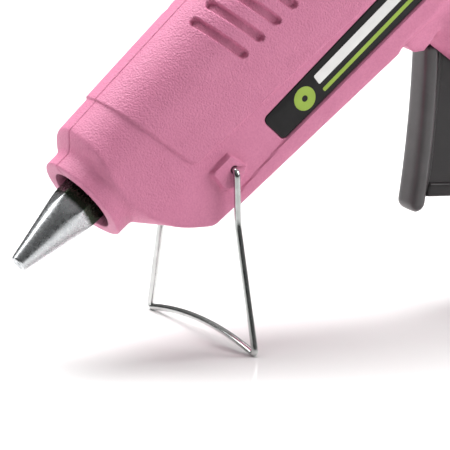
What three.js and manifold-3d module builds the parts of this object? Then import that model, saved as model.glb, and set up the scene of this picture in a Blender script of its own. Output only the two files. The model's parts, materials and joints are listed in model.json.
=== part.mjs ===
// Glue gun standing on its wire stand, an assembly of separate pieces.
// Millimetres, +Z up. The gun is drawn in its own frame and then pitched nose-down as a whole:
// gun x runs rearward along the barrel axis from the nose ring, gun z is square to the barrel
// and points away from the handle, gun y points to the far half of the casing.
import * as THREE from "three";
import { mergeVertices } from "three/addons/utils/BufferGeometryUtils.js";
import Module from "manifold-3d";

const wasm = await Module();
wasm.setup();

// ---- driving dimensions ----------------------------------------------------
const PITCH = THREE.MathUtils.degToRad(36.6); // barrel below the horizontal, on the stand
const GAP = 0.3; // clearance between pieces that touch
const WALL = 2.4; // casing wall

const RING = { bore: 10.5, lip: 13.7, radius: 14.8, chamfer: 0.8, length: 6 };
const BARREL = { rear: 158, arch: 15, band: 16.6, topAtNose: 20.3, bottomAtChin: -29.4 };
const HANDLE = { top: -18, heel: -152, toe: -159.1, frontTop: 112, depth: 39, half: 15.5 };
const HANDLE_LEAN = 0.24; // rearward run per unit of drop
const TRIGGER_PIVOT = { x: 121, z: -30 };
const TRIGGER_HALF = 4.2; // half width of the web
const STAND_PIVOT = { x: 37.9, z: -18.6 };
const WIRE = 1.0; // stand wire radius
const BOSS_FACE = 18.4; // outer face of the stand boss, from the middle plane
const FEED_BORE = 6.2; // clears an 11 mm glue stick
const SCREWS = [[26, -24.5], [78, -26.5], [92, 14.5], [141, 14.5], [136, -104], [152, -136]];
const TUBE_SIDES = 20;

// ---- solids ----------------------------------------------------------------
function solidOf(geometry) {
  const bare = geometry.index ? geometry.toNonIndexed() : geometry.clone();
  bare.deleteAttribute("normal");
  bare.deleteAttribute("uv");
  const merged = mergeVertices(bare, 1e-4);
  const triVerts = new Uint32Array(merged.index.array);
  const build = () => new wasm.Manifold(new wasm.Mesh({
    numProp: 3,
    vertProperties: merged.attributes.position.array,
    triVerts,
  }));
  const made = build();
  if (made.volume() > 0) return made;
  for (let i = 0; i < triVerts.length; i += 3) {
    [triVerts[i + 1], triVerts[i + 2]] = [triVerts[i + 2], triVerts[i + 1]];
  }
  return build();
}

function block(x0, x1, y0, y1, z0, z1) {
  const geometry = new THREE.BoxGeometry(x1 - x0, y1 - y0, z1 - z0);
  geometry.translate((x0 + x1) / 2, (y0 + y1) / 2, (z0 + z1) / 2);
  return solidOf(geometry);
}

// Turned piece about gun x; profile is [radius, x] from axis to axis, or closed on itself. The first
// corner is in degrees from gun +z toward +y.
function turned(profile, sides = TUBE_SIDES, firstCorner = 0) {
  const points = profile.map(([r, x]) => new THREE.Vector2(r, x));
  const geometry = new THREE.LatheGeometry(points, sides);
  geometry.rotateZ(-Math.PI / 2);
  geometry.rotateX(-THREE.MathUtils.degToRad(firstCorner));
  return solidOf(geometry);
}

function rod(radius, x0, x1, sides = TUBE_SIDES) {
  return turned([[0, x0], [radius, x0], [radius, x1], [0, x1]], sides);
}

function pipe(inner, outer, x0, x1, sides = TUBE_SIDES) {
  return turned([[inner, x0], [outer, x0], [outer, x1], [inner, x1], [inner, x0]], sides);
}

// Side outline of [x, z] points, pulled across from y0 to y1.
function plate(outline, y0, y1) {
  const shape = outline instanceof THREE.Shape
    ? outline
    : new THREE.Shape(outline.map(([x, z]) => new THREE.Vector2(x, z)));
  const geometry = new THREE.ExtrudeGeometry(shape, {
    depth: y1 - y0, bevelEnabled: false, curveSegments: 10,
  });
  geometry.rotateX(Math.PI / 2);
  geometry.translate(0, y1, 0);
  return solidOf(geometry);
}

// Pin along gun y.
function pin(radius, x, z, y0, y1, sides = 16) {
  const geometry = new THREE.CylinderGeometry(radius, radius, y1 - y0, sides);
  geometry.translate(x, (y0 + y1) / 2, z);
  return solidOf(geometry);
}

// Skin through rings of equally many points, closed at both ends.
function loft(rings) {
  const count = rings[0].length;
  const positions = [];
  const triangle = (a, b, c) => positions.push(...a, ...b, ...c);
  for (let i = 0; i + 1 < rings.length; i++) {
    for (let j = 0; j < count; j++) {
      const k = (j + 1) % count;
      triangle(rings[i][j], rings[i][k], rings[i + 1][k]);
      triangle(rings[i][j], rings[i + 1][k], rings[i + 1][j]);
    }
  }
  const middle = (ring) => [0, 1, 2].map((axis) => ring.reduce((s, p) => s + p[axis], 0) / count);
  const first = rings[0];
  const last = rings[rings.length - 1];
  for (let j = 0; j < count; j++) {
    const k = (j + 1) % count;
    triangle(middle(first), first[k], first[j]);
    triangle(middle(last), last[j], last[k]);
  }
  const geometry = new THREE.BufferGeometry();
  geometry.setAttribute("position", new THREE.Float32BufferAttribute(positions, 3));
  return solidOf(geometry);
}

// Round wire through corner points, each corner turned with a bend.
function wire(points, radius, bend, steps, sides = 8) {
  const corners = points.map((p) => new THREE.Vector3(...p));
  const path = new THREE.CurvePath();
  let from = corners[0];
  for (let i = 1; i + 1 < corners.length; i++) {
    const before = from.clone().sub(corners[i]).setLength(bend).add(corners[i]);
    const after = corners[i + 1].clone().sub(corners[i]).setLength(bend).add(corners[i]);
    path.add(new THREE.LineCurve3(from, before));
    path.add(new THREE.QuadraticBezierCurve3(before, corners[i], after));
    from = after;
  }
  path.add(new THREE.LineCurve3(from, corners[corners.length - 1]));
  return tube(path, radius, steps, sides);
}

function tube(path, radius, steps, sides = 8) {
  const section = new THREE.Shape();
  section.absarc(0, 0, radius, 0, Math.PI * 2);
  const ring = new THREE.Shape(section.getPoints(sides).slice(0, sides));
  return solidOf(new THREE.ExtrudeGeometry(ring, { steps, extrudePath: path }));
}

// ---- casing outline --------------------------------------------------------
// The smaller of several limits, with the corner between them rounded.
const softMin = (limits) => limits.reduce((sum, t) => sum + t ** -20, 0) ** (-1 / 20);

function barrelTop(x) {
  const nose = BARREL.topAtNose + 0.05 * (Math.min(x, 60) - 10);
  const rearDrop = x > 138 ? 0.012 * (x - 138) ** 2 : 0;
  return nose + 0.03 * Math.max(x - 60, 0) - rearDrop;
}

function barrelBottom(x) {
  const rise = x > 134 ? 0.62 * (x - 134) : 0;
  return BARREL.bottomAtChin - 0.035 * (x - 25) + rise;
}

// Distance from the barrel axis to the casing, at x, in the direction phi from straight up.
function casingRadius(x, phi) {
  const across = Math.abs(Math.sin(phi));
  const up = Math.cos(phi);
  const archCentre = barrelTop(x) - BARREL.arch;
  const reach = BARREL.arch ** 2 - (archCentre * across) ** 2;
  let upper = archCentre * up + Math.sqrt(Math.max(reach, 0));
  const sideTilt = 0.118;
  if (reach < 0 || upper * up < archCentre) {
    upper = (BARREL.arch + sideTilt * archCentre) / Math.max(across + sideTilt * up, 1e-3);
  }
  const limits = [upper, BARREL.band / Math.max(across, 1e-3)];
  const past = Math.max(x - RING.length, 0);
  const lip = Math.min(x / RING.chamfer, 1);
  limits.push(RING.lip + (RING.radius - RING.lip) * lip + 1.5 * past);
  if (up < 0) {
    limits.push(-barrelBottom(x) / -up, (RING.radius + 0.8 * past) / -up);
  }
  const rear = Math.max(x - 148, 0) / 10;
  return softMin(limits) * (1 - 0.1 * rear ** 2);
}

const STATIONS = [0, 0.8, 6, 7.5, 10, 13, 17, 21, 25, 32, 60, 100, 134, 142, 150, 155, 158];
const ANGLES = 32;

function barrel(inset) {
  const start = inset > 0 ? 2.6 : 0;
  const end = BARREL.rear - inset;
  const stops = [start, ...STATIONS.filter((x) => x > start && x < end), end];
  return loft(stops.map((x) => Array.from({ length: ANGLES }, (_, i) => {
    const phi = (i / ANGLES) * Math.PI * 2;
    const radius = casingRadius(x, phi) - inset;
    return [x, radius * Math.sin(phi), radius * Math.cos(phi)];
  })));
}

// Front and back edges of the handle at height z, and its half width.
function handleAt(z) {
  const drop = Math.max(-40 - z, 0);
  const toeFlare = 5 * THREE.MathUtils.smoothstep(-z, 132, 156);
  const tailBulge = 4 * Math.exp(-(((z + 34) / 18) ** 2));
  const front = HANDLE.frontTop + HANDLE_LEAN * drop - toeFlare;
  const back = HANDLE.frontTop + HANDLE.depth + HANDLE_LEAN * drop - tailBulge;
  return { front, back, half: HANDLE.half + 0.8 * THREE.MathUtils.smoothstep(-z, 120, 156) };
}

function handle(inset) {
  const lowest = HANDLE.toe - 6 + inset;
  const heights = [HANDLE.top, -30, -42, -60, -90, -124, -138, -147, -154, lowest];
  const sides = 22;
  return loft(heights.map((z) => {
    const { front, back, half } = handleAt(z);
    return Array.from({ length: sides }, (_, i) => {
      const turn = (i / sides) * Math.PI * 2;
      const round = (v) => Math.sign(v) * Math.abs(v) ** 0.72;
      return [
        (front + back) / 2 + ((back - front) / 2 - inset) * round(Math.cos(turn)),
        (half - inset) * round(Math.sin(turn)),
        z,
      ];
    });
  }));
}

// Everything below the handle's end face, moved up by inset.
function belowHandle(inset) {
  const toeX = handleAt(HANDLE.toe).front;
  const rise = (HANDLE.heel - HANDLE.toe) / HANDLE.depth;
  const heightAt = (x) => HANDLE.toe + inset + rise * (x - toeX);
  return plate([[100, heightAt(100)], [100, -200], [210, -200], [210, heightAt(210)]], -30, 30);
}

const SNOUT_LIP = [[99, -28], [103.6, -32], [104.8, -36], [107.2, -39.1], [111.6, -40.2], [120, -34], [120, -28]];
const BOSS = [[31.9, -14.6], [39.6, -14.2], [41.8, -21.4], [36.1, -23.6], [32.3, -21.8]];

const outer = barrel(0)
  .add(handle(0).subtract(belowHandle(0)))
  .add(plate(SNOUT_LIP, -11.5, 11.5))
  .add(plate(BOSS, -BOSS_FACE, BOSS_FACE));
const inner = barrel(WALL).add(handle(WALL).subtract(belowHandle(WALL)));

// ---- casing halves ---------------------------------------------------------
// Side outline of the name strip: rounded ends, tapering slightly wider to the rear.
const STRIP = { front: 54.5, rear: 133, topFront: -14.6, topRear: -12.6, low: -24.4, lean: 0.17, y: 16.2 };
function stripOutline(grow) {
  const { front, rear, topFront, topRear, low, lean } = STRIP;
  const lowX = lean * (topFront - low);
  return [
    [front - grow, topFront + grow], [rear + grow, topRear + grow],
    [rear + lowX + grow, low - grow], [front + lowX - grow, low - grow],
  ];
}

// Vent slots run down over the shoulder, leaning rearward; they are blind.
const VENTS = { count: 5, first: 55.8, pitch: 7.1, width: 2.8, top: 23.5, low: 5.9, lean: 0.33, depth: 1.3 };
function ventCutter() {
  let slots = null;
  for (let i = 0; i < VENTS.count; i++) {
    const x = VENTS.first + i * VENTS.pitch;
    const foot = x + VENTS.lean * (VENTS.top - VENTS.low);
    const slot = plate([
      [x, VENTS.top], [x + VENTS.width, VENTS.top], [foot + VENTS.width, VENTS.low], [foot, VENTS.low],
    ], -20, 20);
    slots = slots ? slots.add(slot) : slot;
  }
  return slots.subtract(barrel(VENTS.depth)).subtract(block(50, 110, -7.6, 7.6, 0, 30));
}

const TRIGGER_SLOT = [
  [109, -43], [112.8, -38.2], [116, -34], [126, -34], [124, -60], [131.5, -99.5], [118, -99.5], [108, -60],
];
const COLLAR = { x0: 149.5, x1: 159.6, outer: 8.6, flange: 10.6 };
const CORD_INLET = { x: 150.5, outer: 6.2, bore: 3.6 };

const cuts = [
  rod(RING.bore, -1, 4),
  rod(COLLAR.outer + GAP, 150, 165),
  plate(TRIGGER_SLOT, -5.2, 5.2),
  ventCutter(),
  plate(stripOutline(GAP), STRIP.y - GAP, 30),
  plate(stripOutline(GAP), -30, -STRIP.y + GAP),
  pin(WIRE + GAP, STAND_PIVOT.x, STAND_PIVOT.z, -25, 25),
  cordCutter(CORD_INLET.outer + GAP),
];

function cordCutter(radius) {
  const geometry = new THREE.CylinderGeometry(radius, radius, 20, TUBE_SIDES);
  geometry.rotateX(Math.PI / 2);
  geometry.translate(CORD_INLET.x, 0, HANDLE.heel - 2);
  return solidOf(geometry);
}

let shell = outer.subtract(inner);

// Pillars for the screws and the trigger pin, standing on the inner wall of each half.
const PIN_BOSS = pin(5, TRIGGER_PIVOT.x, TRIGGER_PIVOT.z, -20, 20)
  .subtract(block(100, 140, -5.2, 5.2, -50, -10));
for (const [x, z] of SCREWS) shell = shell.add(pin(4.3, x, z, -25, 25, 10).intersect(outer));
shell = shell.add(PIN_BOSS.intersect(outer));
for (const [x, z] of SCREWS) {
  shell = shell.subtract(pin(1.8, x, z, -9.5, 20, 8)).subtract(pin(3.3, x, z, 10.4, 30, 10));
}
shell = shell.subtract(pin(1.8, TRIGGER_PIVOT.x, TRIGGER_PIVOT.z, -12.6, 12.6));
for (const cut of cuts) shell = shell.subtract(cut);

const SEAM = 0.1; // each half stops this far from the middle plane
const shellNear = shell.subtract(block(-50, 250, -SEAM, 60, -250, 60));
const shellFar = shell.subtract(block(-50, 250, -60, SEAM, -250, 60));

// ---- hot end ---------------------------------------------------------------
const NOZZLE = { tip: -27.2, tipRadius: 2.66, flats: 6.7, slope: 0.2093, base: 8, firstCorner: 44 };

function nozzle() {
  const hexRadius = NOZZLE.flats / Math.cos(Math.PI / 6);
  const hexProfile = [[0, NOZZLE.tip], [hexRadius, NOZZLE.tip], [hexRadius, NOZZLE.base], [0, NOZZLE.base]];
  const hex = turned(hexProfile, 6, NOZZLE.firstCorner);
  const wide = NOZZLE.tipRadius + NOZZLE.slope * (NOZZLE.base - NOZZLE.tip);
  const cone = turned([[0, NOZZLE.tip], [NOZZLE.tipRadius, NOZZLE.tip], [wide, NOZZLE.base], [0, NOZZLE.base]], 36);
  const neck = rod(4.6, NOZZLE.base - 1, 15.5);
  const bore = turned([[0, -30], [1, -30], [1, -22], [2.6, -12], [2.6, 20], [0, 20]], 16);
  return hex.intersect(cone).add(neck).subtract(bore);
}

const CHAMBER = { x0: 9, x1: 56, spigot: 63, outer: 9.2, spigotOuter: 7.4 };

function heatingChamber() {
  const tubeBody = turned([
    [0, CHAMBER.x0], [CHAMBER.outer, CHAMBER.x0], [CHAMBER.outer, CHAMBER.x1],
    [CHAMBER.spigotOuter, CHAMBER.x1], [CHAMBER.spigotOuter, CHAMBER.spigot], [0, CHAMBER.spigot],
  ]);
  const melt = turned([
    [0, 0], [4.9, 0], [4.9, 16], [2.6, 16], [2.6, 19], [5.9, 30], [5.9, 70], [0, 70],
  ]);
  const heaterBox = block(19, 48, -9, 9, -19.5, -5);
  const pocket = block(15, 60, -6.6, 6.6, -17.4, -12.6);
  return tubeBody.add(heaterBox).subtract(melt).subtract(pocket);
}

const ptcHeater = block(21, 49.4, -6.3, 6.3, -17.1, -12.9);

function heaterClip() {
  return block(32, 44, -10.2, 10.2, -20.7, -8).subtract(block(20, 50, -9.3, 9.3, -19.8, 0));
}

// Heat-resistant plate that centres the chamber in the casing.
function chamberSupport(x) {
  return barrel(WALL + GAP)
    .intersect(block(x, x + 2.5, -30, 30, -12, 40))
    .subtract(rod(CHAMBER.outer + GAP, x - 5, x + 10));
}

const inletSleeve = turned([
  [7.7, 56.3], [9.4, 56.3], [9.4, 88], [8.6, 92], [7.6, 92], [6.2, 88], [6.2, 63.5], [7.7, 63.5], [7.7, 56.3],
]);
const sleeveClamp = pipe(9.7, 10.7, 58.5, 61.5);

// ---- feed mechanism --------------------------------------------------------
const FEED = { x0: 111, x1: 132, outer: 9.2, pinX: 124.6, pinZ: -13.4, jawPinX: 117, jawPinZ: 12.4 };

function feedCarriage() {
  const sleeve = pipe(FEED_BORE, FEED.outer, FEED.x0, FEED.x1);
  const lug = block(FEED.pinX - 3.5, FEED.pinX + 3.5, -2.2, 2.2, -16.2, -FEED.outer + 1);
  const ears = block(FEED.jawPinX - 3.4, FEED.jawPinX + 3.4, -6.2, 6.2, 6, 15)
    .subtract(rod(FEED_BORE, 100, 140));
  const window = block(FEED.x0 - 1, FEED.jawPinX + 6, -4.3, 4.3, 2, 20);
  return sleeve.add(lug).add(ears).subtract(window)
    .subtract(pin(1.5, FEED.pinX, FEED.pinZ, -10, 10))
    .subtract(pin(1.5, FEED.jawPinX, FEED.jawPinZ, -10, 10));
}

// The jaw hangs from its pin and tips its tooth into the glue stick as the trigger closes.
function gripperJaw() {
  const outline = [[114.6, 10.4], [115.4, 14.6], [118.6, 14.6], [121.4, 10.8], [120.8, 6.6], [117.4, 8.4]];
  return plate(outline, -4, 4).subtract(pin(1.5, FEED.jawPinX, FEED.jawPinZ, -10, 10));
}

const gripperPin = pin(1.2, FEED.jawPinX, FEED.jawPinZ, -6, 6, 12);
const carriagePin = pin(1.2, FEED.pinX, FEED.pinZ, -5, 5, 12);

// ---- trigger ---------------------------------------------------------------
const LEVER = { webRadius: 66, rim: 4.5, barTopX: 114.4, barTopZ: -46.4, barEndX: 82.4, barEndZ: -81.1 };

// Point at a distance from the trigger pivot, in a direction in degrees from straight down.
function aboutPivot(radius, degrees) {
  const turn = THREE.MathUtils.degToRad(degrees);
  return [TRIGGER_PIVOT.x + radius * Math.sin(turn), TRIGGER_PIVOT.z - radius * Math.cos(turn)];
}

// The web's lower edge runs straight back from the finger bar and then follows an arc about the pivot,
// so it stays put in the casing slot as it swings.
function trigger() {
  const { x, z } = TRIGGER_PIVOT;
  const lowerEdge = [-26, -22, -18, -14, -10, -6, -2, 5].map((a) => aboutPivot(LEVER.webRadius, a));
  const web = plate([
    [116.5, -33], [LEVER.barTopX, LEVER.barTopZ], [LEVER.barEndX, LEVER.barEndZ], WEB_CORNER,
    ...lowerEdge, [127, -60], [126, -31],
  ], -TRIGGER_HALF, TRIGGER_HALF);
  const hub = pin(4.6, x, z, -TRIGGER_HALF - 0.6, TRIGGER_HALF + 0.6, 20);
  const fork = plate([[117, -28], [120, -11.2], [127.8, -11.2], [128.2, -14], [125, -30]], -4.4, 4.4)
    .subtract(block(110, 140, -2.6, 2.6, -24, 0));
  const forkSlot = plate([
    [FEED.pinX - 1.6, -17], [FEED.pinX - 1.6, -5], [FEED.pinX + 1.6, -5], [FEED.pinX + 1.6, -17],
  ], -9, 9);
  return web.add(hub).add(fork).add(rimAlongWeb()).subtract(forkSlot).subtract(pin(1.8, x, z, -10, 10));
}

const WEB_CORNER = [84.9, -82.5]; // where the web's lower edge leaves the finger bar

function rimAlongWeb() {
  const lower = [-26, -21, -16, -10].map((a) => aboutPivot(LEVER.webRadius, a));
  const upper = [-10, -16, -21, -26].map((a) => aboutPivot(LEVER.webRadius - LEVER.rim, a));
  const corner = [WEB_CORNER[0] + 0.68 * LEVER.rim, WEB_CORNER[1] + 0.73 * LEVER.rim];
  return plate([WEB_CORNER, ...lower, ...upper, corner], -TRIGGER_HALF - 0.4, TRIGGER_HALF + 0.4);
}

// Finger bar along the front of the trigger, with a rounded lower end.
function triggerPad() {
  const along = new THREE.Vector2(LEVER.barEndX - LEVER.barTopX, LEVER.barEndZ - LEVER.barTopZ).normalize();
  const forward = new THREE.Vector2(along.y, -along.x);
  const start = new THREE.Vector2(LEVER.barTopX, LEVER.barTopZ).addScaledVector(forward, GAP);
  const end = new THREE.Vector2(LEVER.barEndX, LEVER.barEndZ).addScaledVector(forward, GAP);
  const at = (base, f, a) => {
    const p = base.clone().addScaledVector(forward, f).addScaledVector(along, a);
    return [p.x, p.y];
  };
  return plate([
    at(start, 0, 0), at(start, 2.4, 1.5), at(end, 2.4, 0.5), at(end, 1.6, 3.4), at(end, 0, 4),
  ], -TRIGGER_HALF - 0.6, TRIGGER_HALF + 0.6);
}

const triggerPin = pin(1.5, TRIGGER_PIVOT.x, TRIGGER_PIVOT.z, -12.3, 12.3);

// Compression spring between the trigger web and the back of the handle.
class Helix extends THREE.Curve {
  constructor(from, to, radius, turns) {
    super();
    Object.assign(this, { from, to, radius, turns });
  }

  getPoint(t, target = new THREE.Vector3()) {
    const angle = t * this.turns * Math.PI * 2;
    return target.set(
      THREE.MathUtils.lerp(this.from.x, this.to.x, t),
      this.radius * Math.cos(angle),
      THREE.MathUtils.lerp(this.from.z, this.to.z, t) + this.radius * Math.sin(angle),
    );
  }
}
const springFrom = new THREE.Vector3(128.2, 0, -64);
const springTo = new THREE.Vector3(153.4, 0, -64);
const returnSpring = tube(new Helix(springFrom, springTo, 3.2, 6), 0.5, 60, 5);

// ---- stand -----------------------------------------------------------------
// Both legs drop straight from the casing, then splay out to the foot; the bar between is arched.
const STAND = { legY: 19.7, inside: 14.5, kneeDrop: 16, kneeY: 20.6, footDrop: 54, footY: 28.8, arch: 3.2, bend: 2 };

function stand() {
  const down = new THREE.Vector2(-Math.sin(PITCH), -Math.cos(PITCH));
  const at = (y, drop, ahead) => [
    STAND_PIVOT.x + down.x * drop - Math.cos(PITCH) * ahead,
    y,
    STAND_PIVOT.z + down.y * drop + Math.sin(PITCH) * ahead,
  ];
  const side = (s) => [
    at(s * STAND.inside, 0, 0),
    at(s * STAND.legY, 0, 0),
    at(s * STAND.kneeY, STAND.kneeDrop, 0.2),
    at(s * STAND.footY, STAND.footDrop, 0.6),
  ];
  const middle = [at(-9, STAND.footDrop - STAND.arch, 0.6), at(9, STAND.footDrop - STAND.arch, 0.6)];
  return wire([...side(-1), ...middle, ...side(1).reverse()], WIRE, STAND.bend, 84, 6);
}

// ---- wiring ----------------------------------------------------------------
const TERMINAL = { x: 147, z: -118 };

function heaterLead(side) {
  return wire([
    [49.9, side * 3.4, -15], [60, side * 5, -16], [68, side * 11, -20], [128, side * 11, -20.5],
    [141, side * 10, -42], [TERMINAL.x, side * 9.6, -80], [TERMINAL.x, side * 5, TERMINAL.z + 5.6],
  ], 0.8, 3, 34, 6);
}

const terminalBlock = block(TERMINAL.x - 7, TERMINAL.x + 7, -9, 9, TERMINAL.z - 5, TERMINAL.z + 5)
  .subtract(pin(1, TERMINAL.x - 2, TERMINAL.z, -30, -20));

function terminalScrew(side) {
  const geometry = new THREE.CylinderGeometry(1.9, 1.9, 2, 14);
  geometry.rotateZ(Math.PI / 2);
  geometry.translate(TERMINAL.x - 8.4, side * 4.6, TERMINAL.z);
  return solidOf(geometry);
}

function cordInlet() {
  const profile = [
    [CORD_INLET.bore, -5], [CORD_INLET.outer, -5], [CORD_INLET.outer, 4], [CORD_INLET.bore, 4], [CORD_INLET.bore, -5],
  ].map(([r, h]) => new THREE.Vector2(r, h));
  const geometry = new THREE.LatheGeometry(profile, TUBE_SIDES);
  geometry.rotateX(Math.PI / 2);
  geometry.translate(CORD_INLET.x, 0, HANDLE.heel + 1);
  return solidOf(geometry);
}

// ---- casing trim -----------------------------------------------------------
const labelStripNear = plate(stripOutline(0), -STRIP.y - 0.5, -STRIP.y);
const labelStripFar = plate(stripOutline(0), STRIP.y, STRIP.y + 0.5);
const inletCollar = turned([
  [6.3, COLLAR.x0], [COLLAR.outer, COLLAR.x0], [COLLAR.outer, 158.3], [COLLAR.flange, 158.3],
  [COLLAR.flange, COLLAR.x1], [7.2, COLLAR.x1], [6.3, 157], [6.3, COLLAR.x0],
]);

// Self-tapping casing screw with its head in the counterbore of the far half.
function casingScrew(x, z) {
  return pin(1.4, x, z, -8.8, 11, 10).add(pin(2.9, x, z, 10.7, 12.9, 12));
}

// ---- assembly --------------------------------------------------------------
const plain = (color, roughness, metalness = 0) =>
  new THREE.MeshStandardMaterial({ color, roughness, metalness });
const PINK = plain(0xd07a9c, 0.6);
const BLACK = plain(0x18181a, 0.45);
const GREY = plain(0x4a484a, 0.6);
const NYLON = plain(0xd8d4c8, 0.55);
const ALUMINIUM = plain(0xb4b6b8, 0.35, 1);
const STEEL = plain(0xc8cacc, 0.25, 1);
const SILICONE = plain(0xb8483c, 0.7);
const CERAMIC = plain(0xe6e0d2, 0.8);
const BRASS = plain(0xc8a45a, 0.35, 1);

const gun = new THREE.Group();

function place(name, solid, material) {
  const { vertProperties, triVerts } = solid.getMesh();
  const geometry = new THREE.BufferGeometry();
  geometry.setAttribute("position", new THREE.Float32BufferAttribute(vertProperties, 3));
  geometry.setIndex(new THREE.Uint32BufferAttribute(triVerts, 1));
  geometry.computeVertexNormals();
  const mesh = new THREE.Mesh(geometry, material);
  mesh.name = name;
  gun.add(mesh);
}

place("shell_near", shellNear, PINK);
place("shell_far", shellFar, PINK);
place("label_strip_near", labelStripNear, BLACK);
place("label_strip_far", labelStripFar, BLACK);
place("inlet_collar", inletCollar, BLACK);
place("nozzle", nozzle(), ALUMINIUM);
place("heating_chamber", heatingChamber(), ALUMINIUM);
place("ptc_heater", ptcHeater, CERAMIC);
place("heater_clip", heaterClip(), STEEL);
place("chamber_support_front", chamberSupport(13.5), CERAMIC);
place("chamber_support_rear", chamberSupport(50), CERAMIC);
place("inlet_sleeve", inletSleeve, SILICONE);
place("sleeve_clamp", sleeveClamp, STEEL);
place("feed_carriage", feedCarriage(), NYLON);
place("carriage_pin", carriagePin, STEEL);
place("gripper_jaw", gripperJaw(), STEEL);
place("gripper_pin", gripperPin, STEEL);
place("trigger", trigger(), GREY);
place("trigger_pad", triggerPad(), BLACK);
place("trigger_pin", triggerPin, STEEL);
place("trigger_spring", returnSpring, STEEL);
place("wire_stand", stand(), STEEL);
place("heater_lead_near", heaterLead(-1), SILICONE);
place("heater_lead_far", heaterLead(1), SILICONE);
place("terminal_block", terminalBlock, NYLON);
place("terminal_screw_near", terminalScrew(-1), BRASS);
place("terminal_screw_far", terminalScrew(1), BRASS);
place("cord_inlet", cordInlet(), BLACK);
SCREWS.forEach(([x, z], i) => place(`casing_screw_${i + 1}`, casingScrew(x, z), STEEL));

// The whole gun is pitched nose-down, centred over its footprint and set on the floor.
gun.rotation.y = -PITCH;
gun.updateMatrixWorld(true);
const extent = new THREE.Box3().setFromObject(gun, true);
gun.position.set(-(extent.min.x + extent.max.x) / 2, 0, -extent.min.z);

const part = new THREE.Group();
part.add(gun);
export default part;
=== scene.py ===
# A pink hot glue gun resting nose-down on its wire stand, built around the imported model.
#
# Shapes are drawn in millimetres in the gun's own frame and then pitched nose-down with it:
# gun x runs rearward along the barrel from the nose ring, gun z is square to the barrel and points
# away from the handle, gun y points to the far half of the casing.
import json
import math

import bmesh
import bpy
import numpy as np
from mathutils import Matrix, Vector
from mathutils.kdtree import KDTree


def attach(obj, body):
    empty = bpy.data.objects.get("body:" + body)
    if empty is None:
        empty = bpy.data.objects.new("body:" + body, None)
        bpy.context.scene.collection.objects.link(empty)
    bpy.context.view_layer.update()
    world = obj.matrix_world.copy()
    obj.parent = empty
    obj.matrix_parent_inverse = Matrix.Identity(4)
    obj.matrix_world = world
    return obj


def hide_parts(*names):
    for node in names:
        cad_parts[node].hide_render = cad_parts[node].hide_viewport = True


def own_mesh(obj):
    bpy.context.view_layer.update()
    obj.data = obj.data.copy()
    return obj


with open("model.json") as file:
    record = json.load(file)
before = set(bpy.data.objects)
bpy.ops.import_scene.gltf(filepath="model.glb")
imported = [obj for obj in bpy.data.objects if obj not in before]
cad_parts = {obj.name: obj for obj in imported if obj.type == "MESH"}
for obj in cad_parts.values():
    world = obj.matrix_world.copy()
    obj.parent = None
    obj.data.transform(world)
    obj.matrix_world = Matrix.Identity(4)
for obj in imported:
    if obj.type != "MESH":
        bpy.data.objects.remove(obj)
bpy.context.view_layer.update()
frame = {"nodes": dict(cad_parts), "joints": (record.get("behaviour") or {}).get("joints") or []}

MM = 0.001

# ---- the gun's own frame ----------------------------------------------------
PITCH = math.radians(36.6)
TRIGGER_PIVOT = (121.0, -30.0)
STAND_PIVOT = (37.9, -18.6)


def gun_frame():
    """Place and turn of the gun's own frame in the world, found from the trigger's pivot."""
    pivot = next(j["pos_m"] for j in frame["joints"] if j["name"] == "trigger_squeeze")
    turn = Matrix.Rotation(-PITCH, 4, "Y")
    x, z = TRIGGER_PIVOT
    return Matrix.Translation(Vector(pivot) - turn @ Vector((x * MM, 0, z * MM))) @ turn


GUN = gun_frame()

# ---- driving dimensions -----------------------------------------------------
WALL = 2.4
SEAM = 0.1
RING = {"bore": 10.5, "lip": 13.7, "radius": 14.8, "round": 0.8, "length": 6.0}
BARREL = {"rear": 158.0, "arch": 15.0, "band": 16.6, "top": 20.3, "chin": -29.4, "tilt": 0.118}
HANDLE = {"top": -18.0, "heel": -152.0, "toe": -159.1, "front": 112.0, "depth": 39.0, "half": 15.5}
HANDLE_LEAN = 0.24
PANEL_RISE = 0.65
FLANGE_RISE = 0.6
BOSS_FACE = 18.4
BOSS = [(31.9, -14.6), (39.6, -14.2), (41.8, -21.4), (36.1, -23.6), (32.3, -21.8)]
STRIP = {"front": 54.5, "rear": 133.0, "top_front": -14.6, "top_rear": -12.6, "low": -24.4, "lean": 0.17}
STRIP_FACE = 16.7
STRIP_BACK = 16.2
VENTS = {"count": 5, "first": 56.0, "pitch": 7.1, "half": 1.4, "top": 23.5, "low": 4.8, "lean": 0.26}
VENT_DEPTH = 1.5
VENT_INNER_END = 6.4
SCREWS = [(26, -24.5), (78, -26.5), (92, 14.5), (141, 14.5), (136, -104), (152, -136)]
WIRE = 1.0
CLEAR = 0.3


# ---- solids -----------------------------------------------------------------
def solid(name, points, faces):
    """A closed mesh object with its faces pointing out."""
    mesh = bpy.data.meshes.new(name)
    mesh.from_pydata([tuple(p) for p in np.asarray(points, float).tolist()], [], faces)
    net = bmesh.new()
    net.from_mesh(mesh)
    bmesh.ops.recalc_face_normals(net, faces=net.faces)
    net.to_mesh(mesh)
    net.free()
    obj = bpy.data.objects.new(name, mesh)
    bpy.context.scene.collection.objects.link(obj)
    return obj


def skin(name, rings, joined=False):
    """Closed skin through rings of equally many points, with flat ends or joined end to end."""
    rings = np.asarray(rings, float)
    count, sides = rings.shape[:2]
    rows = count if joined else count - 1
    faces = []
    for i in range(rows):
        here = i * sides
        there = ((i + 1) % count) * sides
        faces += [
            (here + j, here + (j + 1) % sides, there + (j + 1) % sides, there + j)
            for j in range(sides)
        ]
    if not joined:
        faces.append(tuple(range(sides - 1, -1, -1)))
        faces.append(tuple(range((count - 1) * sides, count * sides)))
    return solid(name, rings.reshape(-1, 3), faces)


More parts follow.
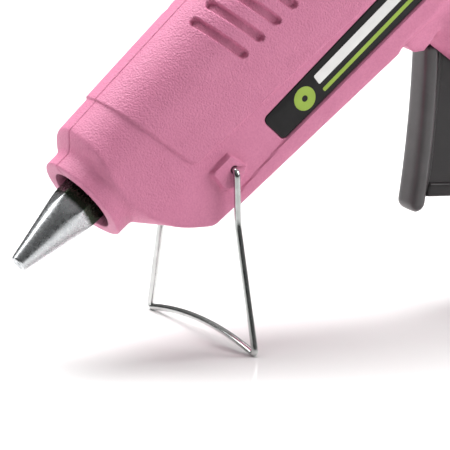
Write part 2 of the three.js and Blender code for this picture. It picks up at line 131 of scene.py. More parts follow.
def turned(name, profile, sides=96):
    """Piece turned about the barrel axis from (radius, x) points, capped if they start on the axis."""
    angles = np.linspace(0, 2 * math.pi, sides, endpoint=False)
    rings = [
        np.stack([np.full(sides, x), r * np.sin(angles), r * np.cos(angles)], 1)
        for r, x in profile
    ]
    return skin(name, rings, joined=profile[0][0] > 0.01)


def slab(name, outline, y0, y1):
    """Side outline of (x, z) points, pulled across from y0 to y1."""
    rings = [[(x, y, z) for x, z in outline] for y in (y0, y1)]
    return skin(name, rings)


def pin(name, radius, x, z, y0, y1, sides=48):
    """Cylinder along gun y."""
    angles = [2 * math.pi * i / sides for i in range(sides)]
    return slab(name, [(x + radius * math.cos(a), z + radius * math.sin(a)) for a in angles], y0, y1)


def rounded(outline, radius, steps=6):
    """The outline with each corner replaced by an arc."""
    points = []
    count = len(outline)
    for i in range(count):
        corner = Vector(outline[i])
        before = (Vector(outline[i - 1]) - corner).normalized()
        after = (Vector(outline[(i + 1) % count]) - corner).normalized()
        opening = before.angle(after)
        middle = corner + (before + after).normalized() * radius / math.sin(opening / 2)
        reach = radius / math.tan(opening / 2)
        start = corner + before * reach - middle
        end = corner + after * reach - middle
        for k in range(steps + 1):
            spoke = start.lerp(end, k / steps).normalized() * radius
            points.append(tuple(middle + spoke))
    return points


def settle(obj):
    """Makes the result of the object's modifiers its own mesh."""
    bpy.context.view_layer.update()
    shape = obj.evaluated_get(bpy.context.evaluated_depsgraph_get())
    mesh = bpy.data.meshes.new_from_object(shape)
    obj.modifiers.clear()
    obj.data = mesh
    return obj


def combine(base, operation, tools):
    """Joins tools to base, or cuts base with them, and uses the tools up."""
    for tool in tools:
        modifier = base.modifiers.new("combine", "BOOLEAN")
        modifier.operation = operation
        modifier.solver = "MANIFOLD"
        modifier.object = tool
    settle(base)
    for tool in tools:
        bpy.data.objects.remove(tool)
    return base


def bevelled(obj, width, segments=3, over=35):
    """Rounds every edge sharper than the angle over."""
    modifier = obj.modifiers.new("bevel", "BEVEL")
    modifier.width = width
    modifier.segments = segments
    modifier.angle_limit = math.radians(over)
    modifier.limit_method = "ANGLE"
    modifier.use_clamp_overlap = True
    return settle(obj)


def points_of(obj):
    flat = np.empty(len(obj.data.vertices) * 3, np.float32)
    obj.data.vertices.foreach_get("co", flat)
    return flat.reshape(-1, 3).astype(float)


def soften_joins(obj, before, reach, rounds):
    """Rounds the creases where solids were joined. Their points are the ones that weren't there before."""
    known = KDTree(len(before))
    for i, point in enumerate(before):
        known.insert(point, i)
    known.balance()
    points = points_of(obj)
    creases = [p for p in points if known.find(p)[2] > 1e-3]
    near = KDTree(len(creases))
    for i, point in enumerate(creases):
        near.insert(point, i)
    near.balance()
    distance = np.array([near.find(p)[2] for p in points])
    weight = 1 - smoothstep(distance, 0.35 * reach, reach)
    edges = np.empty(len(obj.data.edges) * 2, np.int32)
    obj.data.edges.foreach_get("vertices", edges)
    a, b = edges.reshape(-1, 2)[(weight[edges.reshape(-1, 2)].max(1) > 0)].T
    size = len(points)
    count = np.bincount(a, minlength=size) + np.bincount(b, minlength=size)
    moving = (weight > 0) & (count > 0)
    for _ in range(rounds):
        total = np.stack([
            np.bincount(a, points[b, k], size) + np.bincount(b, points[a, k], size) for k in range(3)
        ], 1)
        mean = total[moving] / count[moving, None]
        points[moving] += 0.6 * weight[moving, None] * (mean - points[moving])
    obj.data.vertices.foreach_set("co", points.astype(np.float32).ravel())
    obj.data.update()
    return obj


def place(obj, name, material, body, replaces=(), sharp=32):
    """Sets a finished solid in the world as a named piece that rides on a body."""
    obj.name = name
    obj.data.name = name
    obj.data.transform(GUN @ Matrix.Scale(MM, 4))
    obj.data.materials.clear()
    obj.data.materials.append(material)
    obj.data.shade_smooth()
    obj.data.set_sharp_from_angle(angle=math.radians(sharp))
    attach(obj, body)
    if replaces:
        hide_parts(*replaces)
    return obj


# ---- smooth steps and limits ------------------------------------------------
def smoothstep(value, low, high):
    s = np.clip((value - low) / (high - low), 0, 1)
    return s * s * (3 - 2 * s)


def step(inside, half_width):
    """0 outside, 1 inside, rising over the width of a moulded edge."""
    return smoothstep(inside, -half_width, half_width)


def soft_min(limits, power):
    """The smaller of several positive lengths, with the corner between them rounded."""
    return sum(np.asarray(t, float) ** -power for t in limits) ** (-1 / power)


def soft_inside(distances, corner):
    """Depth inside several edges at once, negative outside, with rounded corners."""
    return -corner * np.log(sum(np.exp(-np.clip(d, -20, 20) / corner) for d in distances))


# ---- casing -----------------------------------------------------------------
def barrel_top(x):
    nose = BARREL["top"] + 0.05 * (np.minimum(x, 60) - 10)
    return nose + 0.03 * np.maximum(x - 60, 0) - 0.012 * np.maximum(x - 138, 0) ** 2


def barrel_bottom(x):
    return BARREL["chin"] - 0.035 * (x - 25) + 0.62 * np.maximum(x - 134, 0)


def casing_radius(x, phi):
    """Distance from the barrel axis to the plain casing, at x, in the direction phi from straight up."""
    across = np.maximum(np.abs(np.sin(phi)), 1e-3)
    up = np.cos(phi)
    arch = BARREL["arch"]
    tilt = BARREL["tilt"]
    centre = barrel_top(x) - arch
    reach = arch**2 - (centre * across) ** 2
    dome = centre * up + np.sqrt(np.maximum(reach, 0))
    side = (arch * math.hypot(1, tilt) + tilt * centre) / np.maximum(across + tilt * up, 1e-3)
    below_dome = (reach < 0) | (dome * up < centre + arch * tilt)
    past = 0.5 * np.logaddexp(0, (x - RING["length"]) / 0.5)
    flared = RING["radius"] + 1.5 * past
    body = soft_min([np.where(below_dome, side, dome), BARREL["band"] / across, flared], 36)
    down = np.maximum(-up, 1e-3)
    below = soft_min([(RING["radius"] + 0.83 * past) / down, -barrel_bottom(x) / down], 60)
    radius = soft_min([body, below], 9 + 21 * smoothstep(x, 11, 24))
    lip = np.clip(1 - x / RING["round"], 0, 1)
    radius -= (RING["radius"] - RING["lip"]) * (1 - np.sqrt(1 - lip**2))
    edge = np.clip((x - BARREL["rear"] + 1.6) / 1.6, 0, 1)
    return radius * (1 - 0.1 * (np.maximum(x - 148, 0) / 10) ** 2) - 1.4 * (1 - np.sqrt(1 - edge**2))


def panel_inside(x, z):
    """Depth inside the raised main panel, measured on the casing's side."""
    front = 0.968 * (x - 21.75 - 0.2565 * (21 - z))
    ridge = -9.3 - 0.0335 * (x - 36.9) - 0.0004 * np.maximum(x - 60, 0) ** 2
    return soft_inside([front, z - ridge], 0.9)


def flange_inside(x, z):
    """Depth inside the raised lower flange."""
    line = np.minimum(-25.9 + 0.0556 * (x - 37.2), -24.9)
    return soft_inside([line - z, 0.8 * (x - 34.5) - 0.3 * (z + 26)], 0.7)


def boss_inside(x, z):
    """Depth inside the outline of the boss that the stand's wire enters."""
    distances = []
    for (x0, z0), (x1, z1) in zip(BOSS, BOSS[1:] + BOSS[:1]):
        length = math.hypot(x1 - x0, z1 - z0)
        distances.append(((x - x0) * (z1 - z0) - (z - z0) * (x1 - x0)) / length)
    return soft_inside(distances, 0.35)


def wire_groove(x, z):
    """Depth inside the groove that runs from the wire's hole to the corner of the boss."""
    along = ((x - STAND_PIVOT[0]) - (z - STAND_PIVOT[1])) / math.sqrt(2)
    aside = ((x - STAND_PIVOT[0]) + (z - STAND_PIVOT[1])) / math.sqrt(2)
    return soft_inside([0.9 - np.abs(aside), along, 5.6 - along], 0.15)


def vent_inside(x, y, z):
    """Depth inside the nearest vent, a long slot with round ends that leans rearward."""
    inner = (np.abs(y) - VENT_INNER_END - VENTS["half"]) / 0.87
    outer = z - VENTS["low"] - VENTS["half"]
    past_end = np.maximum(0, -np.minimum(inner, outer))
    depth = np.full(x.shape, -5.0)
    for i in range(VENTS["count"]):
        middle = VENTS["first"] + i * VENTS["pitch"] + VENTS["half"] + VENTS["lean"] * (VENTS["top"] - z)
        aside = (x - middle) * 0.95
        depth = np.maximum(depth, VENTS["half"] - np.hypot(aside, past_end))
    return depth


def relief(x, y, z):
    """How far the moulded surface stands out from the plain casing."""
    side = np.abs(y)
    rise = PANEL_RISE * step(panel_inside(x, z), 0.28)
    rise = rise + FLANGE_RISE * step(flange_inside(x, z), 0.2)
    boss = smoothstep(boss_inside(x, z), -0.6, 0.15) * (side > 10)
    rise = rise + boss * (BOSS_FACE - side - rise)
    rise = rise - 0.7 * boss * step(wire_groove(x, z), 0.2)
    rise = rise - VENT_DEPTH * step(vent_inside(x, y, z), 0.22)
    return rise - seam_line(y)


def seam_line(y):
    """Depth of the fine groove where the two halves of the casing meet."""
    return 0.25 * np.exp(-((y / 0.22) ** 2))


def grown(points, amount):
    """Moves a closed grid of points out along its normals."""
    along = np.gradient(points, axis=0)
    wrapped = np.concatenate([points[:, -1:], points, points[:, :1]], 1)
    around = (wrapped[:, 2:] - wrapped[:, :-2]) / 2
    normals = np.cross(along, around)
    normals /= np.maximum(np.linalg.norm(normals, axis=2, keepdims=True), 1e-9)
    return points + normals * amount[..., None]


def even_turns(profile, spacing):
    """Angles around a closed outline, evenly spaced on it and close together at the two seams."""
    dense = np.linspace(0, math.pi, 3000)
    length = np.concatenate([[0], np.cumsum(np.linalg.norm(np.diff(profile(dense), axis=0), axis=1))])
    seam = np.array([0, 0.13, 0.27, 0.45, 0.7])
    middle = np.linspace(1.0, length[-1] - 1.0, int(length[-1] / spacing))
    half = np.interp(np.concatenate([seam, middle, length[-1] - seam[::-1]]), length, dense)
    return np.concatenate([half, 2 * math.pi - half[-2:0:-1]])


def barrel_grid(stops, turns):
    x, phi = np.meshgrid(stops, turns, indexing="ij")
    radius = casing_radius(x, phi)
    return np.stack([x, radius * np.sin(phi), radius * np.cos(phi)], 2)


def barrel_profile(x):
    return lambda phi: barrel_grid(np.array([x]), phi)[0]


def stretches(*parts):
    """Stations along the barrel from (start, spacing) pairs, the last one giving the end."""
    stops = []
    for (start, spacing), (end, _) in zip(parts, parts[1:]):
        stops.append(np.linspace(start, end, max(round((end - start) / spacing), 1), endpoint=False))
    return np.concatenate(stops + [[parts[-1][0]]])


def barrel():
    """Outer surface of the barrel with its panel, flange, bosses and vents."""
    stops = stretches((0, 0.13), (0.8, 0.4), (22, 0.3), (46, 0.5), (55, 0.3), (98, 0.6), (112, 0.9),
                      (150, 0.5), (156.4, 0.25), (BARREL["rear"], 0))
    turns = even_turns(barrel_profile(60.0), 0.45)
    plain = barrel_grid(stops, turns)
    return skin("barrel", grown(plain, relief(plain[..., 0], plain[..., 1], plain[..., 2])))


def barrel_hollow(inset):
    """The barrel's inside, as a solid."""
    stops = stretches((2.6, 1.0), (32, 6.0), (134, 2.0), (BARREL["rear"] - inset, 0))
    turns = np.linspace(0, 2 * math.pi, 72, endpoint=False)
    x, phi = np.meshgrid(stops, turns, indexing="ij")
    radius = casing_radius(x, phi) - inset
    return skin("hollow", np.stack([x, radius * np.sin(phi), radius * np.cos(phi)], 2))


def handle_at(z):
    """Front and back edges of the handle at height z, and its half width."""
    drop = np.maximum(-40 - z, 0)
    toe_flare = 5 * smoothstep(-z, 132, 156)
    tail_bulge = 4 * np.exp(-(((z + 34) / 18) ** 2))
    front = HANDLE["front"] + HANDLE_LEAN * drop - toe_flare
    back = HANDLE["front"] + HANDLE["depth"] + HANDLE_LEAN * drop - tail_bulge
    return front, back, HANDLE["half"] + 0.8 * smoothstep(-z, 120, 156)


def end_face(x):
    """Height of the handle's slanting end face at x."""
    toe_x = handle_at(HANDLE["toe"])[0]
    return HANDLE["toe"] + (HANDLE["heel"] - HANDLE["toe"]) / HANDLE["depth"] * (x - toe_x)


def handle_grid(turns, steps, inset, edge):
    """Points of the handle, drawn in by inset, with the edge of its end face rounded."""
    swing = np.sign(np.cos(turns)) * np.abs(np.cos(turns)) ** 0.72
    width = np.sign(np.sin(turns)) * np.abs(np.sin(turns)) ** 0.72

    def at(z, draw):
        front, back, half = handle_at(z)
        return (front + back) / 2 + ((back - front) / 2 - draw) * swing, (half - draw) * width

    low = np.full(turns.shape, HANDLE["heel"])
    for _ in range(6):
        low = end_face(at(low, inset)[0]) + inset
    rings = []
    for t in steps:
        z = HANDLE["top"] + (low - HANDLE["top"]) * t
        close = np.clip(1 - (z - low) / max(edge, 1e-6), 0, 1)
        x, y = at(z, inset + edge * (1 - np.sqrt(1 - close**2)))
        z = np.where(t >= 1, end_face(x) + inset, z)
        rings.append(np.stack([x, y, z], 1))
    return np.array(rings)


def handle_profile(turns):
    return handle_grid(turns, [0.4], 0, 0)[0]


def handle():
    length = HANDLE["top"] - HANDLE["toe"]
    edge = 1.6
    fine = np.arange(0, 0.3, 0.7 / length)
    coarse = np.linspace(0.3, 1 - edge / length, 80)
    rounding = 1 - edge / length * (1 - np.sin(np.linspace(0, math.pi / 2, 9)))
    turns = even_turns(handle_profile, 0.7)
    grid = handle_grid(turns, np.concatenate([fine, coarse, rounding[1:]]), 0, edge)
    return skin("handle", grown(grid, -seam_line(grid[..., 1]) * (grid[..., 2] > -155)))


def handle_hollow(inset):
    turns = np.linspace(0, 2 * math.pi, 48, endpoint=False)
    return skin("hollow", handle_grid(turns, np.linspace(0, 1, 30), inset, 0))


def trigger_brow():
    """The swelling under the barrel that covers the top of the trigger."""
    outline = [
        (97, -26), (103.4, -32), (104.4, -35.2), (105.8, -37.9), (108.4, -39.8), (111.6, -40.4),
        (116, -39), (121, -34), (121, -26),
    ]
    brow = slab("brow", rounded(outline, 0.8, 3), -13.2, 13.2)
    return bevelled(brow, 3.0, 6, 60)


TRIGGER_SLOT = [
    (109, -43), (112.8, -38.2), (116, -34), (126, -34), (124, -60), (131.5, -99.5), (118, -99.5),
    (108, -60),
]
COLLAR = {"x0": 149.5, "x1": 159.6, "outer": 8.6, "flange": 10.6, "bore": 6.3}
CORD_INLET = {"x": 150.5, "outer": 6.2, "bore": 3.6}
SLOT_HALF = 5.2


def strip_outline(grow, corner):
    low_x = STRIP["lean"] * (STRIP["top_front"] - STRIP["low"])
    corners = [
        (STRIP["front"] - grow, STRIP["top_front"] + grow),
        (STRIP["rear"] + grow, STRIP["top_rear"] + grow),
        (STRIP["rear"] + low_x + grow, STRIP["low"] - grow),
        (STRIP["front"] + low_x - grow, STRIP["low"] - grow),
    ]
    return rounded(corners, corner)


def upright(obj, x, z):
    """Turns a piece from the barrel axis to gun z and moves it to x and z."""
    obj.data.transform(Matrix.Translation((x, 0, z)) @ Matrix.Rotation(-math.pi / 2, 4, "Y"))
    return obj


def casing_cuts():
    """Everything that is cut through the casing's wall."""
    bore = RING["bore"]
    ring_lip = 0.5
    bore_profile = [
        (0, -1), (bore + 1.5, -1), (bore + ring_lip, -0.01), (bore + 0.15, 0.15), (bore, ring_lip),
        (bore, 4), (0, 4),
    ]
    collar_hole = COLLAR["outer"] + CLEAR
    cord_hole = CORD_INLET["outer"] + CLEAR
    x, z = TRIGGER_PIVOT
    cuts = [
        turned("bore", bore_profile),
        turned("collar_hole", [(0, 150), (collar_hole, 150), (collar_hole, 165), (0, 165)]),
        slab("trigger_slot", TRIGGER_SLOT, -SLOT_HALF, SLOT_HALF),
        slab("strip_seat_near", strip_outline(CLEAR, 1.9), -30, -STRIP_BACK + CLEAR),
        slab("strip_seat_far", strip_outline(CLEAR, 1.9), STRIP_BACK - CLEAR, 30),
        pin("wire_hole", WIRE + 0.35, *STAND_PIVOT, -25, 25),
        pin("pin_hole", PIN_HOLE_RADIUS, x, z, -12.6, 12.6),
        upright(
            turned("cord_hole", [(0, -12), (cord_hole, -12), (cord_hole, 8), (0, 8)]),
            CORD_INLET["x"], HANDLE["heel"],
        ),
    ]
    for sx, sz in SCREWS:
        cuts.append(pin("screw_hole", 1.8, sx, sz, -9.5, 20, 24))
        cuts.append(pin("counterbore", 3.3, sx, sz, 10.4, 30))
    return cuts


def casing():
    """Both halves of the casing, joined and hollowed like the real moulding, then parted at the seam."""
    shapes = [barrel(), handle(), trigger_brow()]
    before = np.concatenate([points_of(s) for s in shapes])
    outer = combine(shapes[0], "UNION", shapes[1:])
    soften_joins(outer, before, 5.0, 90)
    whole = outer.copy()
    whole.data = outer.data.copy()
    bpy.context.scene.collection.objects.link(whole)
    combine(outer, "DIFFERENCE", [combine(barrel_hollow(WALL), "UNION", [handle_hollow(WALL)])])

    x, z = TRIGGER_PIVOT
    gap_room = [(100, -50), (140, -50), (140, -10), (100, -10)]
    boss = combine(
        pin("boss", 5, x, z, -20, 20), "DIFFERENCE", [slab("gap", gap_room, -SLOT_HALF, SLOT_HALF)]
    )
    pillars = combine(boss, "UNION", [pin("pillar", 4.3, sx, sz, -25, 25) for sx, sz in SCREWS])
    combine(outer, "UNION", [combine(pillars, "INTERSECT", [whole])])
    combine(outer, "DIFFERENCE", casing_cuts())

    far = outer.copy()
    far.data = outer.data.copy()
    bpy.context.scene.collection.objects.link(far)
    room = [(-50, -250), (250, -250), (250, 60), (-50, 60)]
    near = combine(outer, "DIFFERENCE", [slab("far_side", room, -SEAM, 60)])
    far = combine(far, "DIFFERENCE", [slab("near_side", room, -60, SEAM)])
    return near, far


# ---- materials --------------------------------------------------------------
def linear(*values):
    """A screen colour of 0 to 255 values as scene light."""
    light = [(v / 255 / 12.92) if v <= 10 else ((v / 255 + 0.055) / 1.055) ** 2.4 for v in values]
    return (*light, 1.0)


class Finish:
    """A material whose colour, roughness and bump come from noise in the gun's own frame."""

    def __init__(self, name, metallic=0.0, specular=0.5):
        self.material = bpy.data.materials.new(name)
        self.material.use_nodes = True
        self.nodes = self.material.node_tree.nodes
        self.links = self.material.node_tree.links
        self.shader = self.nodes["Principled BSDF"]
        self.shader.inputs["Metallic"].default_value = metallic
        self.shader.inputs["Specular IOR Level"].default_value = specular
        own = self.nodes.new("ShaderNodeTexCoord").outputs["Object"]
        pitched = self.node("ShaderNodeMapping", vector_type="TEXTURE")
        pitched.inputs["Location"].default_value = GUN.translation
        pitched.inputs["Rotation"].default_value = GUN.to_euler()
        self.links.new(own, pitched.inputs["Vector"])
        self.place = pitched.outputs["Vector"]
        self.normal = None

    def node(self, kind, **settings):
        made = self.nodes.new(kind)
        for key, value in settings.items():
            if hasattr(made, key):
                setattr(made, key, value)
            else:
                made.inputs[key.replace("_", " ").title()].default_value = value
        return made

    def noise(self, grain_mm, detail=3.0, stretch=None):
        """Noise with a feature size in millimetres, drawn out along an axis if stretch says so."""
        source = self.place
        if stretch:
            mapping = self.nodes.new("ShaderNodeMapping")
            mapping.inputs["Scale"].default_value = stretch
            self.links.new(source, mapping.inputs["Vector"])
            source = mapping.outputs["Vector"]
        made = self.node("ShaderNodeTexNoise", Scale=1 / (grain_mm * MM), Detail=detail)
        self.links.new(source, made.inputs["Vector"])
        return made.outputs["Fac"]

    def cells(self, grain_mm):
        made = self.node("ShaderNodeTexVoronoi", Scale=1 / (grain_mm * MM))
        made.feature = "SMOOTH_F1"
        made.inputs["Smoothness"].default_value = 0.6
        self.links.new(self.place, made.inputs["Vector"])
        return made.outputs["Distance"]

    def along(self, axis, low_mm, high_mm):
        """0 below low and 1 above high along an axis of the gun's own frame."""
        split = self.nodes.new("ShaderNodeSeparateXYZ")
        self.links.new(self.place, split.inputs["Vector"])
        return self.spread(split.outputs[axis], 0, 1, low_mm * MM, high_mm * MM)

    def spread(self, value, low, high, start=0.3, end=0.7):
        made = self.node("ShaderNodeMapRange")
        made.inputs["From Min"].default_value = start
        made.inputs["From Max"].default_value = end
        made.inputs["To Min"].default_value = low
        made.inputs["To Max"].default_value = high
        self.links.new(value, made.inputs["Value"])
        return made.outputs["Result"]

    def sum(self, a, b, share=1.0):
        made = self.node("ShaderNodeMath", operation="MULTIPLY_ADD")
        self.links.new(b, made.inputs[0])
        made.inputs[1].default_value = share
        self.links.new(a, made.inputs[2])
        return made.outputs[0]

    def mix(self, share, first, second):
        """Colour between first and second, each a colour or a socket."""
        made = self.node("ShaderNodeMix")
        made.data_type = "RGBA"
        self.links.new(share, made.inputs["Factor"])
        for socket, colour in ((made.inputs[6], first), (made.inputs[7], second)):
            if isinstance(colour, tuple):
                socket.default_value = colour
            else:
                self.links.new(colour, socket)
        return made.outputs[2]

    def colour(self, socket):
        self.links.new(socket, self.shader.inputs["Base Color"])
        return self

    def roughness(self, socket):
        self.links.new(socket, self.shader.inputs["Roughness"])
        return self

    def bump(self, height, depth_mm, strength=1.0):
        """Adds a layer of bump over those already there."""
        made = self.node("ShaderNodeBump", Distance=depth_mm * MM)
        if isinstance(strength, float):
            made.inputs["Strength"].default_value = strength
        else:
            self.links.new(strength, made.inputs["Strength"])
        self.links.new(height, made.inputs["Height"])
        if self.normal:
            self.links.new(self.normal, made.inputs["Normal"])
        self.normal = made.outputs["Normal"]
        self.links.new(self.normal, self.shader.inputs["Normal"])
        return self


def moulded(
    name, light, dark, rough=(0.4, 0.55), grain_mm=0.5, depth_mm=0.03, metallic=0.0, specular=0.5
):
    """Plain moulded, pressed or turned material: mottled colour, uneven gloss and a fine grain."""
    finish = Finish(name, metallic, specular)
    finish.colour(finish.mix(finish.spread(finish.noise(7.0), 0, 1), light, dark))
    finish.roughness(finish.spread(finish.noise(2.5), *rough))
    finish.bump(finish.noise(grain_mm), depth_mm, 0.6)
    return finish.material


def casing_plastic():
    """Pink plastic with a leather grain, finer on the smooth lower band."""
    finish = Finish("casing_pink", specular=0.42)
    patches = finish.spread(finish.noise(9.0), 0, 1)
    mottle = finish.mix(patches, linear(209, 128, 160), linear(202, 121, 153))
    speckle = finish.spread(finish.noise(0.6), 0, 0.45)
    finish.colour(finish.mix(speckle, mottle, linear(186, 104, 136)))
    finish.roughness(finish.spread(finish.noise(1.4), 0.46, 0.6))
    upper = finish.along("Z", -13.5, -10.5)
    strength = finish.spread(upper, 0.3, 1.0, 0, 1)
    finish.bump(finish.noise(0.55, 2.0), 0.26, strength)
    finish.bump(finish.cells(0.6), 0.13, strength)
    return finish.material


def nozzle_metal():
    """Cast aluminium, rough by the shoulder, smooth on the cone, with the ring's shadow painted in as a
    dark band next to the ring.
    """
    finish = Finish("nozzle_aluminium", metallic=1.0)
    cast = finish.spread(finish.noise(1.1, 4.0), 0, 1)
    bright = finish.mix(cast, linear(198, 200, 201), linear(180, 183, 186))
    # Painted shadow of the ring: a dark band with a ragged edge on the hexagon next to the ring.
    ring_shadow_band = finish.along("X", -4.6, -2.4)
    ragged_ring_shadow = finish.sum(ring_shadow_band, finish.noise(1.3), 0.5)
    painted_ring_shadow = finish.spread(ragged_ring_shadow, 0, 1, 0.35, 0.95)
    finish.colour(finish.mix(painted_ring_shadow, bright, linear(46, 56, 44)))
    finish.roughness(finish.spread(finish.noise(0.9, 4.0), 0.22, 0.34))
    flats = finish.along("X", -14.0, -8.0)
    finish.bump(finish.noise(0.7, 4.0), 0.08, finish.spread(flats, 0.03, 0.45, 0, 1))
    return finish.material


def wire_zinc():
    """Bright zinc-plated wire with faint drawing marks."""
    finish = Finish("wire_zinc", metallic=1.0)
    patches = finish.spread(finish.noise(3.0), 0, 1)
    finish.colour(finish.mix(patches, linear(196, 198, 197), linear(176, 179, 177)))
    finish.roughness(finish.spread(finish.noise(0.8), 0.1, 0.2))
    finish.bump(finish.noise(0.35), 0.012, 0.4)
    return finish.material


def trigger_plastic(name, light, dark, specular):
    """Dark satin plastic with a fine spark-eroded grain and a few small scuffs."""
    finish = Finish(name, specular=specular)
    base = finish.mix(finish.spread(finish.noise(6.0), 0, 1), light, dark)
    scuff = finish.spread(finish.noise(2.2, 5.0, (1.0, 1.0, 0.25)), 0, 0.4, 0.62, 0.8)
    finish.colour(finish.mix(scuff, base, linear(72, 68, 70)))
    finish.roughness(finish.spread(finish.noise(1.2), 0.28, 0.38))
    finish.bump(finish.noise(0.3), 0.02, 0.5)
    return finish.material


MATERIALS = {
    "casing": casing_plastic(),
    "label": moulded(
        "label_black", linear(24, 23, 24), linear(18, 18, 19), (0.5, 0.6), 0.4, 0.01, specular=0.25
    ),
    "black_plastic": moulded("collar_black", linear(34, 34, 36), linear(26, 26, 28), (0.42, 0.56)),
    "nozzle_metal": nozzle_metal(),
    "cast_aluminium": moulded(
        "cast_aluminium", linear(170, 172, 174), linear(138, 140, 143), (0.4, 0.6), 0.9, 0.08, 1.0
    ),
    "ceramic": moulded(
        "ceramic_cream", linear(232, 226, 210), linear(218, 211, 194), (0.7, 0.85), 0.3, 0.02
    ),
    "silicone": moulded("silicone_red", linear(184, 72, 58), linear(164, 60, 48), (0.5, 0.65), 0.6, 0.02),
    "spring_steel": moulded(
        "spring_steel", linear(196, 198, 202), linear(160, 163, 168), (0.2, 0.34), 0.4, 0.01, 1.0
    ),
    "steel": moulded(
        "screw_steel", linear(190, 192, 196), linear(150, 152, 158), (0.26, 0.4), 0.5, 0.015, 1.0
    ),
    "zinc_wire": wire_zinc(),
    "nylon": moulded(
        "nylon_natural", linear(222, 217, 202), linear(208, 202, 186), (0.5, 0.62), 0.5, 0.02
    ),
    "brass": moulded(
        "brass_plain", linear(206, 168, 92), linear(180, 142, 72), (0.25, 0.4), 0.5, 0.015, 1.0
    ),
    "trigger_plastic": trigger_plastic("trigger_dark", linear(38, 35, 36), linear(31, 29, 30), 0.35),
    "trigger_grip": trigger_plastic("trigger_bar_dark", linear(60, 57, 58), linear(50, 47, 48), 0.7),
}
MARK_WHITE = moulded("mark_white", linear(226, 226, 224), linear(214, 214, 212), (0.4, 0.5), 0.4, 0.005)
MARK_GREEN = moulded("mark_green", linear(150, 178, 62), linear(140, 168, 54), (0.4, 0.5), 0.4, 0.005)


# ---- nozzle -----------------------------------------------------------------
NOZZLE = {
    "tip": -27.2, "tip_radius": 2.66, "flats": 6.7, "slope": 0.2093, "base": 8.0, "neck": 4.6, "corner": 44,
}


def nozzle():
    """Cone turned down onto a hexagon bar, with the flats meeting the cone in curved shoulders."""
    turns = np.linspace(0, 2 * math.pi, 240, endpoint=False)
    sixth = math.pi / 3
    from_corner = (turns - math.radians(NOZZLE["corner"])) % sixth
    flats = NOZZLE["flats"] / np.cos(from_corner - sixth / 2)
    rings = []

    def ring(x, radius):
        rings.append(np.stack([np.full(turns.shape, x), radius * np.sin(turns), radius * np.cos(turns)], 1))

    tip = NOZZLE["tip"]
    for x in np.linspace(NOZZLE["base"], tip + 0.4, 130):
        cone = NOZZLE["tip_radius"] + NOZZLE["slope"] * (x - tip)
        ring(x, soft_min([np.full(turns.shape, cone), flats], 60))
    for angle in np.linspace(0.2, math.pi / 2, 6):
        rounded_radius = NOZZLE["tip_radius"] - 0.3 * (1 - math.cos(angle))
        ring(tip + 0.4 - 0.4 * math.sin(angle), np.full(turns.shape, rounded_radius))
    bore = [
        (tip, 1.75), (tip + 0.35, 1.35), (tip + 0.5, 1.0), (-22, 1.0), (-12, 2.6), (15.5, 2.6),
        (15.5, NOZZLE["neck"]), (NOZZLE["base"], NOZZLE["neck"]),
    ]
    for x, radius in bore:
        ring(x, np.full(turns.shape, radius))
    return skin("nozzle", rings, joined=True)


# ---- wire stand -------------------------------------------------------------
STAND = {
    "leg_y": 19.7, "inside": 14.5, "knee_drop": 16.0, "knee_y": 20.6, "knee_ahead": 0.2,
    "foot_drop": 54.0, "foot_y": 29.8, "foot_ahead": -0.2, "arch": 3.4,
}
BEND = 2.0


def bent_path(corners, bend, spacing=0.4):
    """Points along straight runs with each corner turned in a smooth bend."""
    corners = [Vector(c) for c in corners]
    points = []

    def run(start, end):
        count = max(int((end - start).length / spacing), 1)
        points.extend(start.lerp(end, i / count) for i in range(count))

    start = corners[0]
    for before, corner, after in zip(corners, corners[1:], corners[2:]):
        enter = corner + (before - corner).normalized() * bend
        leave = corner + (after - corner).normalized() * bend
        run(start, enter)
        count = 14
        points.extend(enter.lerp(corner, i / count).lerp(corner.lerp(leave, i / count), i / count)
                      for i in range(count))
        start = leave
    run(start, corners[-1])
    points.append(corners[-1])
    return points


def tube(name, path, radius, sides=20):
    """Round bar along a path, without twist, with slightly rounded ends."""
    path = [Vector(p) for p in path]
    tangents = [(b - a).normalized() for a, b in zip([path[0]] + path[:-1], path[1:] + [path[-1]])]
    side = tangents[0].orthogonal().normalized()
    rings = []
    for i, (point, tangent) in enumerate(zip(path, tangents)):
        side = (side - tangent * side.dot(tangent)).normalized()
        other = tangent.cross(side)
        size = radius * (0.7 if i in (0, len(path) - 1) else 1.0)
        rings.append([
            point + side * size * math.cos(a) + other * size * math.sin(a)
            for a in (2 * math.pi * k / sides for k in range(sides))
        ])
    return skin(name, rings)


def wire_stand():
    """One bent wire: both legs turn into the casing, splay to the foot, and the foot bar is arched."""
    down = (-math.sin(PITCH), -math.cos(PITCH))

    def at(y, drop, ahead):
        return (
            STAND_PIVOT[0] + down[0] * drop - math.cos(PITCH) * ahead,
            y,
            STAND_PIVOT[1] + down[1] * drop + math.sin(PITCH) * ahead,
        )

    def side(s):
        return [
            at(s * STAND["inside"], 0, 0),
            at(s * STAND["leg_y"], 0, 0),
            at(s * STAND["knee_y"], STAND["knee_drop"], STAND["knee_ahead"]),
            at(s * STAND["foot_y"], STAND["foot_drop"], STAND["foot_ahead"]),
        ]

    arch = [
        at(STAND["foot_y"] * t, STAND["foot_drop"] - STAND["arch"] * (1 - t * t), STAND["foot_ahead"])
        for t in np.linspace(-0.8, 0.8, 9)
    ]
    return tube("stand", bent_path(side(-1) + arch + side(1)[::-1], BEND), WIRE)


